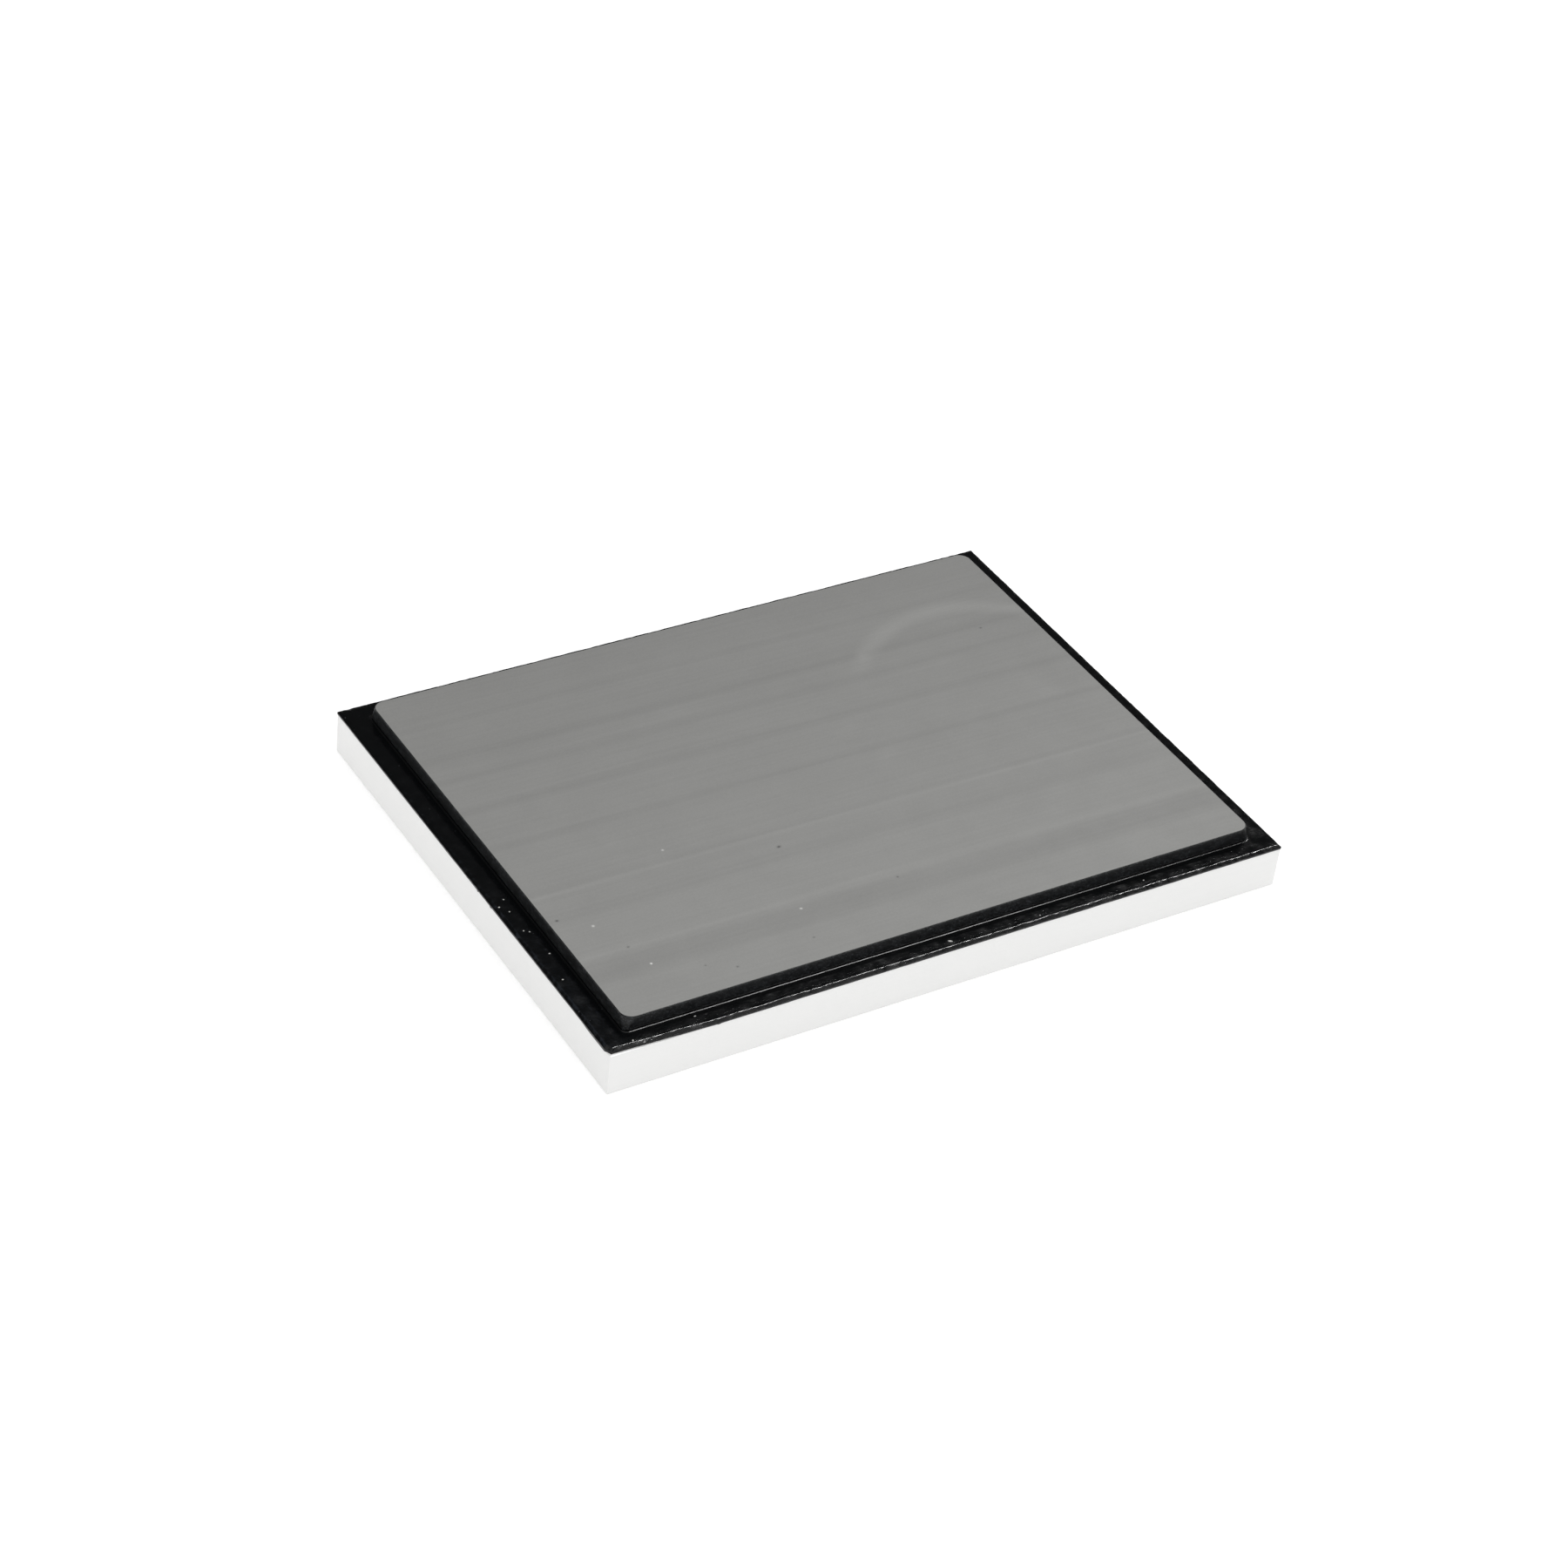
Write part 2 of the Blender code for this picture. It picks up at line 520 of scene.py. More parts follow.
@dataclass(frozen=True)
class PouredResin(Finish):
    """Black resin, poured and left to level: a near mirror, broken by slow ripples, dust and lint."""

    ripple_pitch: float = 1.1 * MM
    ripple_depth: float = 0.017 * MM
    dust_pitch: float = 1.4 * MM
    dust_depth: float = 0.02 * MM
    dust_share: float = 0.2
    dust_radius: float = 0.13
    dust_edge: float = 0.06
    dust_colour: str = "#5d6064"
    smear: float = 5 * MM
    smear_gloss: Span = (0.6, 1.8)
    fleck_colour: str = "#d2d2ce"
    flecks: tuple[Mark, ...] = ()

    def pattern(self, tree: Tree, place: Socket) -> dict[str, Socket]:
        """Ripples and raised dust go to the normal, dust and lint to the colour, wiped smears to the gloss.

        A speck of dust is a ball in a Voronoi cell. The cell's random red draws which cells have one.
        """
        specks = add_node(tree, "TexVoronoi", {"Vector": place}, inputs={"Scale": 1 / self.dust_pitch})
        draw = add_node(tree, "SeparateColor", {"Color": specks.outputs["Color"]}).outputs["Red"]
        radius = spread(tree, draw, (1.0 - self.dust_share, 1.0), (0.0, self.dust_radius))
        within = computed(tree, "SUBTRACT", radius, specks.outputs["Distance"])
        dust = spread(tree, within, (0.0, self.dust_edge))
        colour = mixed(tree, dust, self.colour, self.dust_colour)
        lint = 0.0
        for fleck in self.flecks:
            lint = fleck.add(tree, place, lint)
        if self.flecks:
            colour = mixed(tree, lint, colour, self.fleck_colour)
        smear = tuple(self.roughness * share for share in self.smear_gloss)
        waves = varied(tree, place, self.ripple_pitch, (0.0, 1.0), 3.0)
        return {
            "Base Color": colour,
            "Roughness": varied(tree, place, self.smear, smear, 4.0),
            "Normal": bumped(tree, dust, self.dust_depth, bumped(tree, waves, self.ripple_depth)),
        }


@dataclass(frozen=True)
class PolishedGranite(Finish):
    """Fine black granite, sawn and polished: near black, with small paler crystals and fine pits."""

    crystal: float = 0.45 * MM
    crystal_colour: str = "#6a6e72"
    crystal_share: float = 0.4
    palest: float = 0.3
    cloud: float = 4 * MM
    cloud_span: Span = (0.3, 1.0)
    pit: float = 0.35 * MM
    pit_depth: float = 0.008 * MM
    polish: float = 3 * MM
    polish_gloss: float = 0.08

    def pattern(self, tree: Tree, place: Socket) -> dict[str, Socket]:
        """Crystals are the cells of a fine Voronoi pattern, some of them pale, and paler in some clouds."""
        cells = add_node(tree, "TexVoronoi", {"Vector": place}, inputs={"Scale": 1 / self.crystal})
        draw = add_node(tree, "SeparateColor", {"Color": cells.outputs["Color"]}).outputs["Green"]
        pale = spread(tree, draw, (1.0 - self.crystal_share, 1.0), (0.0, self.palest))
        share = computed(tree, "MULTIPLY", pale, varied(tree, place, self.cloud, self.cloud_span))
        pits = varied(tree, place, self.pit, (0.0, 1.0), 3.0)
        return {
            "Base Color": mixed(tree, share, self.colour, self.crystal_colour),
            "Roughness": self.uneven_gloss(tree, place, self.polish, self.polish_gloss),
            "Normal": bumped(tree, pits, self.pit_depth),
        }


@dataclass(frozen=True)
class GroundGranite(Finish):
    """The same granite ground flat with a fine wheel: matt, even grey, with bands across and marks of use."""

    grit: float = 0.35 * MM
    grit_depth: float = 0.004 * MM
    wear: float = 12 * MM
    wear_gloss: float = 0.03
    half_width: float = 106 * MM
    band_slope: float = -0.8
    streak: Span = (90 * MM, 1.6 * MM)
    streak_tone: float = 0.022
    cloud: float = 22 * MM
    cloud_tone: float = 0.018
    grain: float = 0.8 * MM
    grain_tone: float = 0.030
    bands: tuple[Span, ...] = ()
    marks: tuple[Mark | RingMark, ...] = ()

    def pattern(self, tree: Tree, place: Socket) -> dict[str, Socket]:
        """The face's brightness carries every mark; the wheel's grit gives it a fine, even relief."""
        grit = varied(tree, place, self.grit, (0.0, 1.0), 3.0)
        return {
            "Base Color": scaled(tree, self.colour, self.face_tone(tree, place)),
            "Roughness": self.uneven_gloss(tree, place, self.wear, self.wear_gloss, 3.0),
            "Normal": bumped(tree, grit, self.grit_depth),
        }

    def face_tone(self, tree: Tree, place: Socket) -> Socket:
        """Brightness of the ground face round 1: grinding bands, stone grain, and the marks of use.

        The bands are stops of a colour ramp that runs across the face, kept round a middle grey of 0.5. The
        stops also carry painted light, which makes the face paler towards the front.

        Returns:
            The socket with the brightness.
        """
        turn = {"Rotation": (0.0, 0.0, math.radians(self.band_slope))}
        turned = add_node(tree, "Mapping", {"Vector": place}, vector_type="TEXTURE", inputs=turn)
        slope = turned.outputs["Vector"]
        across = add_node(tree, "SeparateXYZ", {"Vector": slope}).outputs["Y"]
        ramp = add_node(tree, "ValToRGB", {"Fac": spread(tree, across, (-self.half_width, self.half_width))})
        stops = ramp.color_ramp.elements
        stops.remove(stops[1])
        for y, gain in self.bands:
            stop = stops.new((y + self.half_width) / (2 * self.half_width))
            stop.color = (0.5 + gain, 0.5 + gain, 0.5 + gain, 1.0)
        stops.remove(stops[0])
        tone = computed(tree, "ADD", ramp.outputs["Color"], 0.5)
        length, width = self.streak
        scale = {"Scale": (1 / length, 1 / width, 1.0)}
        streak = add_node(tree, "Mapping", {"Vector": slope}, inputs=scale).outputs["Vector"]
        for vector, size, gain, detail in (
            (streak, 1.0, self.streak_tone, 2.0),
            (place, self.cloud, self.cloud_tone, 3.0),
            (place, self.grain, self.grain_tone, 3.0),
        ):
            tone = computed(tree, "ADD", tone, varied(tree, vector, size, (-gain, gain), detail))
        for mark in self.marks:
            tone = mark.add(tree, place, tone)
        return tone


@dataclass(frozen=True)
class AdhesiveFilm(Finish):
    """Pressure-sensitive acrylic film, rolled on: dull, faintly mottled where it has wetted the layers."""

    mottle: float = 3 * MM
    mottle_tone: Span = (0.85, 1.15)
    blotch: float = 2 * MM
    blotch_gloss: float = 0.1

    def pattern(self, tree: Tree, place: Socket) -> dict[str, Socket]:
        """Mottling in brightness and gloss, a few millimetres across."""
        mottle = varied(tree, place, self.mottle, self.mottle_tone, 3.0)
        return {
            "Base Color": scaled(tree, self.colour, mottle),
            "Roughness": self.uneven_gloss(tree, place, self.blotch, self.blotch_gloss),
        }


# ------------------------------------------------------------------ layers

@dataclass(frozen=True)
class Fault:
    """A small place where resin ran over the edge: how far it hangs down and stands out, and its length."""

    side: Side
    place: float
    length: float
    drop: float
    bulge: float = 0.0

    def swell(self, away: np.ndarray) -> np.ndarray:
        """Share of the fault at a distance along the edge: near 1 over its length, then quickly 0."""
        return np.exp(-((2 * away / self.length) ** 6))


@dataclass(frozen=True)
class Nib:
    """A grain of dust cast into the ledge, as a low round bump."""

    side: Side
    place: float
    inset: float
    half_width: float = 0.45 * MM
    height: float = 0.07 * MM

    def rise(self, away: np.ndarray, inset: np.ndarray) -> np.ndarray:
        """Height of the bump at a distance along the edge and an inset: a bell round its middle."""
        return self.height * np.exp(-(away**2 + (inset - self.inset) ** 2) / self.half_width**2)


@dataclass
class Layer:
    """One layer of the slab: its CAD node, slot, finish and plan size, and how far off centre it lies."""

    ring_shaped: ClassVar[bool] = False

    node: str
    slot: str
    finish: Finish
    length: float
    width: float
    shift: tuple[float, float] = (0.0, 0.0)

    def rings(self) -> np.ndarray:
        """Points of the layer's rings, from the underside's middle outwards, up and back in."""
        raise NotImplementedError

    def dress(self, mesh: bpy.types.Mesh) -> None:
        """Gives the mesh its one finish."""
        mesh.materials.append(self.finish.material())

    def build(self) -> bpy.types.Object:
        """Makes the piece, dresses it and fixes it to the frame.

        Returns:
            The finished piece.
        """
        rings = self.rings() + np.array([*self.shift, 0.0])
        piece = closed_mesh(self.node + "_made", rings, self.ring_shaped)
        self.dress(piece.data)
        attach(piece, BODY)
        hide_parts(self.node)
        return piece


@dataclass
class BaseBoard(Layer):
    """The white board, a little shorter than the resin above it, with its edges scraped round."""

    top: float = BOARD_TOP
    setback: float = 0.25 * MM
    corner_radius: float = 0.5 * MM
    edge_round: float = 0.3 * MM
    edge_steps: int = 4
    side_steps: int = 9
    face_ring: float = 2 * MM
    wave_depth: float = 0.02 * MM
    side_waves: Waves = Waves(14 * MM, 60 * MM, 3)

    def rings(self) -> np.ndarray:
        """A plate with a quarter round at its lower and its upper edge and near flat sides between."""
        outline = Outline(self.length, self.width, self.corner_radius)
        travel, perimeter = outline.travel()
        inward, upward = quarter_round(self.edge_steps)
        eased, foot = inward * self.edge_round, (1 - upward) * self.edge_round
        side = np.linspace(self.edge_round, self.top - self.edge_round, self.side_steps)[1:-1]
        inset = np.concatenate([[self.face_ring], eased[::-1], 0 * side, eased, [self.face_ring]])
        height = np.concatenate([[0.0], foot[::-1], side, self.top - foot, [self.top]])
        wave = self.wave_depth * self.side_waves.height(travel[None], perimeter, height[:, None])
        bodily = np.clip(np.minimum(height, self.top - height) / self.edge_round, 0, 1)[:, None]
        inset = (self.setback + inset)[:, None] + wave * bodily
        return outline.ring(inset, np.maximum(self.corner_radius - inset, LEAST_RADIUS), height)


@dataclass
class Film(Layer):
    """A thin film of adhesive that fills a joint, set back from the edge of the layer that it holds."""

    bottom: float = BOARD_TOP
    top: float = BED_FOOT
    setback: float = 2.4 * MM
    squeeze: float = 0.15 * MM
    corner_radius: float = 1 * MM
    plan_radius: float = 2 * MM
    edge_steps: int = 6
    face_ring: float = 2 * MM
    edge_waves: Waves = Waves(6 * MM, 30 * MM, 11)

    def rings(self) -> np.ndarray:
        """A thin plate whose half-round edge wanders in and out where the adhesive was pressed."""
        outline = Outline(self.length, self.width, self.plan_radius, spacing=1.5 * MM, corner_steps=8)
        travel, perimeter = outline.travel()
        middle, half = (self.bottom + self.top) / 2, (self.top - self.bottom) / 2
        angle = np.linspace(-math.pi / 2, math.pi / 2, self.edge_steps + 1)
        wander = self.squeeze * self.edge_waves.height(travel[None], perimeter)
        edge = self.setback + half * (1 - np.cos(angle))[:, None] + wander
        inset = np.concatenate([edge[:1] + self.face_ring, edge, edge[-1:] + self.face_ring])
        height = np.concatenate([[self.bottom], middle + half * np.sin(angle), [self.top]])
        return outline.ring(inset, np.full(inset.shape, self.corner_radius), height)


@dataclass
class ResinBed(Layer):
    """The black bed: a level, rippled ledge, a wide low rim, and a lip that sags over the board's edge.

    At the front left corner the resin pulled back a little as it set, over pull_front and pull_left.
    Each step of the lip gives its distance in from the edge, its share of the lip's drop, and its rise.
    """

    lip_steps: ClassVar[tuple[tuple[float, float, float], ...]] = (
        (0.95 * MM, 0.0, 0.0),
        (0.45 * MM, 0.5, 0.0),
        (0.20 * MM, 1.0, 0.0),
        (0.05 * MM, 1.0, 0.03 * MM),
        (0.0, 1.0, 0.12 * MM),
    )

    bottom: float = BED_FOOT
    top: float = LEDGE
    corner_radius: float = 0.4 * MM
    underside_ring: float = 3 * MM
    rim_width: float = 1.65 * MM
    rim_wander: float = 0.08 * MM
    rim_waves: Waves = Waves(5 * MM, 60 * MM, 23)
    rim_steps: int = 6
    tip: float = 0.12 * MM
    fall: float = math.radians(15)
    fall_wander: float = math.radians(1.7)
    fall_limit: float = 1.5
    fall_waves: Waves = Waves(2.5 * MM, 16 * MM, 27)
    bend: float = 0.6 * MM
    widest_bend: float = 1.2 * MM
    bend_wander: float = 0.7
    bend_waves: Waves = Waves(1.6 * MM, 7 * MM, 26)
    edge_inset: float = 0.04 * MM
    edge_wander: float = 0.012 * MM
    edge_waves: Waves = Waves(3 * MM, 30 * MM, 22)
    lip: float = 0.10 * MM
    sag: float = 0.04 * MM
    sag_waves: Waves = Waves(9 * MM, 45 * MM, 21)
    pull_back: float = 1.7 * MM
    pull_front: float = 45 * MM
    pull_left: float = 5 * MM
    ledge_reach: float = 10.6 * MM
    ledge_steps: int = 20
    swell: float = 0.012 * MM
    swell_waves: Waves = Waves(9 * MM, 40 * MM, 24)
    ripples: float = 0.003 * MM
    ripple_waves: Waves = Waves(2.2 * MM, 6 * MM, 25)
    relief_depth: float = 0.3 * MM
    relief_limit: float = 0.1 * MM
    relief_fade: float = 1 * MM
    faults: tuple[Fault, ...] = ()
    nibs: tuple[Nib, ...] = ()

    def rings(self) -> np.ndarray:
        """Underside, sagging lip, short edge, rim, then the ledge at half-millimetre steps."""
        outline = Outline(self.length, self.width, self.corner_radius)
        travel, perimeter = outline.travel()
        run = travel[None]
        edge, lip_foot = self.edge(run, perimeter, outline)
        past, share, rise = np.array(self.lip_steps).T[..., None]
        lip_height = self.bottom + (lip_foot - self.bottom) * share + rise
        width = self.rim_width + self.rim_wander * self.rim_waves.height(run, perimeter)
        steeper = np.clip(self.fall_waves.height(run, perimeter), -self.fall_limit, self.fall_limit)
        fall = self.fall + self.fall_wander * steeper
        bend = self.bend * np.exp(self.bend_wander * self.bend_waves.height(run, perimeter))
        bend = np.minimum(bend, self.widest_bend)
        inward, upward = flowed_edge(width, self.tip, fall, bend, self.rim_steps)
        rim_inset, rim_height = edge + inward, self.top - upward[-1:] + upward
        reach = np.linspace(0, 1, self.ledge_steps)[1:, None]
        ledge_inset = rim_inset[-1:] * (1 - reach) + self.ledge_reach * reach
        inset = np.concatenate([self.underside_ring + 0 * run, edge + past, rim_inset, ledge_inset])
        height = np.concatenate([self.bottom + 0 * run, lip_height, rim_height, self.top + 0 * ledge_inset])
        near_top = height > self.top - self.relief_depth
        height += self.relief(run, inset, perimeter, outline) * near_top
        radius = np.maximum(self.corner_radius - inset, LEAST_RADIUS)
        return outline.ring(inset, radius, np.minimum(height, self.top + self.relief_limit))

    def edge(self, run: np.ndarray, perimeter: float, outline: Outline) -> tuple[np.ndarray, np.ndarray]:
        """The resin's outer edge with its faults and its pull-back, and the height of the lip's foot.

        Args:
            run: distance along the outline, of shape (1, columns).
            perimeter: the whole way round the outline.
            outline: the bed's outline, which places the faults.

        Returns:
            The edge's inset and the foot's height, each of shape (1, columns).
        """
        drop = self.lip + self.sag * self.sag_waves.height(run, perimeter)
        bulge = self.edge_wander * self.edge_waves.height(run, perimeter)
        for fault in self.faults:
            swell = fault.swell(gap_round(run, outline.travel_at(fault.side, fault.place), perimeter))
            drop = drop + fault.drop * swell
            bulge = bulge + fault.bulge * swell
        corner = outline.travel_at(Side.FRONT, self.corner_radius - self.length / 2)
        ahead = gap_round(run, corner, perimeter)
        past = np.where(ahead > 0, ahead / self.pull_front, -ahead / self.pull_left)
        edge = np.maximum(self.edge_inset - bulge, 0.0) + self.pull_back * np.maximum(1 - past, 0.0)
        return edge, self.bottom - np.maximum(drop, 0.0)

    def relief(
        self, run: np.ndarray, inset: np.ndarray, perimeter: float, outline: Outline
    ) -> np.ndarray:
        """Height of the ledge over its mean: slow swell, small ripples and the cast-in dust.

        Args:
            run: distance along the outline, of shape (1, columns).
            inset: distance in from the outline, of shape (rings, columns).
            perimeter: the whole way round the outline.
            outline: the bed's outline, which places the dust.

        Returns:
            The height, of shape (rings, columns).
        """
        height = self.swell * self.swell_waves.height(run, perimeter, inset)
        height = height + self.ripples * self.ripple_waves.height(run, perimeter, inset)
        for nib in self.nibs:
            away = gap_round(run, outline.travel_at(nib.side, nib.place), perimeter)
            height = height + nib.rise(away, inset)
        return height * np.clip((self.ledge_reach - inset) / self.relief_fade, 0, 1)


@dataclass
class GranitePlate(Layer):
    """The stone: upright sides, corners that open from the foot to the face, an eased arris, a flat face.

    The rings on the face lie at distances inside the arris and keep its smooth shading off the flat.
    """

    bottom: float = PLATE_FOOT
    top: float = FACE
    foot_radius: float = 2.0 * MM
    face_radius: float = 5.0 * MM
    least_radius: float = 0.5 * MM
    foot_ease: float = 0.1 * MM
    underside_ring: float = 3 * MM
    wall_steps: int = 10
    arris: float = 0.5 * MM
    arris_steps: int = 6
    face_rings: tuple[float, ...] = (0.04 * MM, 0.12 * MM, 7.5 * MM)
    ground_depth: float = 0.03 * MM
    side_wander: float = 0.02 * MM
    side_waves: Waves = Waves(6 * MM, 40 * MM, 31)
    face_finish: Finish | None = None

    def dress(self, mesh: bpy.types.Mesh) -> None:
        """Gives the sides one finish and the ground face, down to the last steps of the arris, another."""
        mesh.materials.append(self.finish.material())
        mesh.materials.append(self.face_finish.material())
        centre = np.empty(len(mesh.polygons) * 3)
        mesh.polygons.foreach_get("center", centre)
        ground = centre[2::3] > self.top - self.ground_depth
        mesh.polygons.foreach_set("material_index", ground.astype(np.int32))

    def rings(self) -> np.ndarray:
        """A loft whose corner radius grows evenly from foot to face, closed by a quarter-round arris."""
        outline = Outline(self.length, self.width, self.foot_radius)
        travel, perimeter = outline.travel()
        inward, upward = quarter_round(self.arris_steps)
        shoulder = self.top - self.arris
        wall = np.linspace(self.bottom + self.foot_ease, shoulder, self.wall_steps + 1)[:-1]
        foot, face = [self.underside_ring, self.foot_ease], self.arris + np.array(self.face_rings)
        inset = np.concatenate([foot, 0 * wall, inward * self.arris, face])
        crown = shoulder + upward * self.arris
        height = np.concatenate([[self.bottom, self.bottom], wall, crown, self.top + 0 * face])
        opened = np.clip((height - self.bottom) / (shoulder - self.bottom), 0, 1)
        radius = self.foot_radius + (self.face_radius - self.foot_radius) * opened
        wander = self.side_wander * self.side_waves.height(travel[None], perimeter, height[:, None])
        on_side = ((height > self.bottom) & (height < self.top))[:, None]
        inset = inset[:, None] + np.abs(wander) * on_side
        return outline.ring(inset, np.maximum(radius[:, None] - inset, self.least_radius), height)


@dataclass
class FootBead(Layer):
    """The bead of sealant round the plate's foot: low and level, with a slanting outer face."""

    ring_shaped: ClassVar[bool] = True

    ledge: float = LEDGE
    foot_radius: float = 2.0 * MM
    least_radius: float = 0.3 * MM
    size: float = 0.92 * MM
    size_wander: float = 0.02 * MM
    size_waves: Waves = Waves(12 * MM, 90 * MM, 41)
    tip: float = 0.08 * MM
    face: float = 0.30 * MM
    face_steps: int = 4
    fall: float = math.radians(34)
    fall_wander: float = math.radians(1.2)
    fall_waves: Waves = Waves(1.5 * MM, 5 * MM, 42)
    bend: float = 0.10 * MM
    lap: float = 0.15 * MM
    sink: float = 0.03 * MM

    def rings(self) -> np.ndarray:
        """A closed section carried round the foot: a slanting outer face, then a level top up to the plate.

        The section laps under the plate and sinks a little into the ledge.
        """
        outline = Outline(self.length, self.width, self.foot_radius)
        travel, perimeter = outline.travel()
        run = travel[None]
        size = self.size + self.size_wander * self.size_waves.height(run, perimeter)
        fall = self.fall + self.fall_wander * self.fall_waves.height(run, perimeter)
        face, bend = self.face + 0 * run, self.bend + 0 * run
        inward, upward = flowed_edge(face, self.tip, fall, bend, self.face_steps)
        outward = np.concatenate([size - inward, -self.lap + 0 * inward[:2]])
        height = self.ledge + np.concatenate([upward, upward[-1:], -self.sink + 0 * run])
        return outline.ring(-outward, np.maximum(self.foot_radius + outward, self.least_radius), height)


# ------------------------------------------------------------------ studio

def towards(azimuth: float, elevation: float) -> Vector:
    """Direction from the slab to a place: its azimuth runs from the front round to the right."""
    turn, rise = math.radians(azimuth), math.radians(elevation)
    return Vector((math.sin(turn) * math.cos(rise), -math.cos(turn) * math.cos(rise), math.sin(rise)))


def standing(place: Vector, right: Vector, back: Vector) -> Matrix:
    """The matrix of a camera or a lamp: its right, up and back vectors, and its place."""
    axes = Matrix((right, back.cross(right), back)).transposed().to_4x4()
    return Matrix.Translation(place) @ axes


@dataclass(frozen=True)
class Camera:
    """A camera that looks at a point from an azimuth and an elevation, rolled a little about its own axis."""

    target: tuple[float, float, float]
    distance: float
    azimuth: float
    elevation: float
    roll: float
    lens: float
    sensor: float = 36.0

    def build(self) -> None:
        """Makes the camera and sets it as the scene's."""
        back, roll = towards(self.azimuth, self.elevation), math.radians(self.roll)
        level = Vector((0, 0, 1)).cross(back).normalized()
        right = level * math.cos(roll) + back.cross(level) * math.sin(roll)
        data = bpy.data.cameras.new("camera")
        data.sensor_width = self.sensor
        data.lens = self.lens
        eye = add_object("camera", data)
        eye.matrix_world = standing(Vector(self.target) + back * self.distance, right, back)
        bpy.context.scene.camera = eye


@dataclass(frozen=True)
class SoftSun:
    """A very large, distant soft light. Its strength is the light that a facing matt surface gets."""

    name: str
    azimuth: float
    elevation: float
    strength: float
    spread: float = 60.0

    def build(self) -> None:
        """Turns a wide sun towards the slab. Gloss doesn't show it."""
        data = bpy.data.lights.new(self.name, "SUN")
        data.energy = self.strength
        data.angle = math.radians(self.spread)
        lamp = add_object(self.name, data)
        lamp.rotation_euler = towards(self.azimuth, self.elevation).to_track_quat("Z", "Y").to_euler()
        lamp.visible_glossy = False


@dataclass(frozen=True)
class Panel:
    """A softbox stretched between two points, facing the slab. Only gloss shows it."""

    name: str
    start: tuple[float, float, float]
    end: tuple[float, float, float]
    width: float
    brightness: float
    colour: str = "#ffffff"

    def build(self) -> None:
        """Makes an area light whose power is brightness * pi * area, its long axis from start to end."""
        start, end = Vector(self.start), Vector(self.end)
        along, middle = end - start, (start + end) / 2
        data = bpy.data.lights.new(self.name, "AREA")
        data.shape = "RECTANGLE"
        data.size, data.size_y = along.length, self.width
        data.energy = self.brightness * math.pi * along.length * self.width
        data.color = linear(self.colour)
        lamp = add_object(self.name, data)
        right = along.normalized()
        back = (middle - right * middle.dot(right)).normalized()
        lamp.matrix_world = standing(middle, right, back)
        lamp.visible_diffuse = False
        lamp.visible_camera = False


@dataclass(frozen=True)
class Studio:
    """A pale floor in an even light tent. Gloss sees the tent as it is: dim low down and bright overhead."""

    floor_finish: Finish = Finish("lit_acrylic_floor", "#fcfcfc", 0.9, 1.45, glow=0.12)
    floor_size: float = 16.0
    tent: float = 1.0
    dim: float = 0.075
    bright: float = 1.0
    dim_below: float = 50.0
    bright_above: float = 66.0

    def build(self) -> None:
        """Makes the floor, the dome and the view transform."""
        self.floor()
        self.dome()
        bpy.context.scene.view_settings.view_transform = "Standard"

    def floor(self) -> None:
        """A large plain sheet that the slab rests on: matt, pale and faintly lit."""
        half = self.floor_size / 2
        corners = [(-half, -half, 0.0), (half, -half, 0.0), (half, half, 0.0), (-half, half, 0.0)]
        mesh = bpy.data.meshes.new("floor")
        mesh.from_pydata(corners, [], [(0, 1, 2, 3)])
        sheet = add_object("floor", mesh)
        mesh.materials.append(self.floor_finish.material())

    def dome(self) -> None:
        """The world: even for matt surfaces, graded by height for gloss, and white for the camera."""
        world = bpy.data.worlds.new("studio_dome")
        bpy.context.scene.world = world
        world.use_nodes = True
        tree = world.node_tree
        tree.nodes.clear()
        heading = add_node(tree, "TexCoord").outputs["Generated"]
        rise = add_node(tree, "SeparateXYZ", {"Vector": heading}).outputs["Z"]
        heights = tuple(math.sin(math.radians(angle)) for angle in (self.dim_below, self.bright_above))
        grade = spread(tree, rise, heights, (self.dim, self.bright), kind="SMOOTHSTEP")
        even = add_node(tree, "Background", inputs={"Color": WHITE, "Strength": self.tent})
        mirrored = add_node(tree, "Background", {"Strength": grade}, inputs={"Color": WHITE})
        seen = add_node(tree, "Background", inputs={"Color": WHITE, "Strength": 1.0})
        path = add_node(tree, "LightPath").outputs
        shown = even.outputs[0]
        for ray, other in (("Is Glossy Ray", mirrored), ("Is Camera Ray", seen)):
            shown = add_node(tree, "MixShader", {0: path[ray], 1: shown, 2: other.outputs[0]}).outputs[0]
        add_node(tree, "OutputWorld", {"Surface": shown})


# ------------------------------------------------------------------ the slab

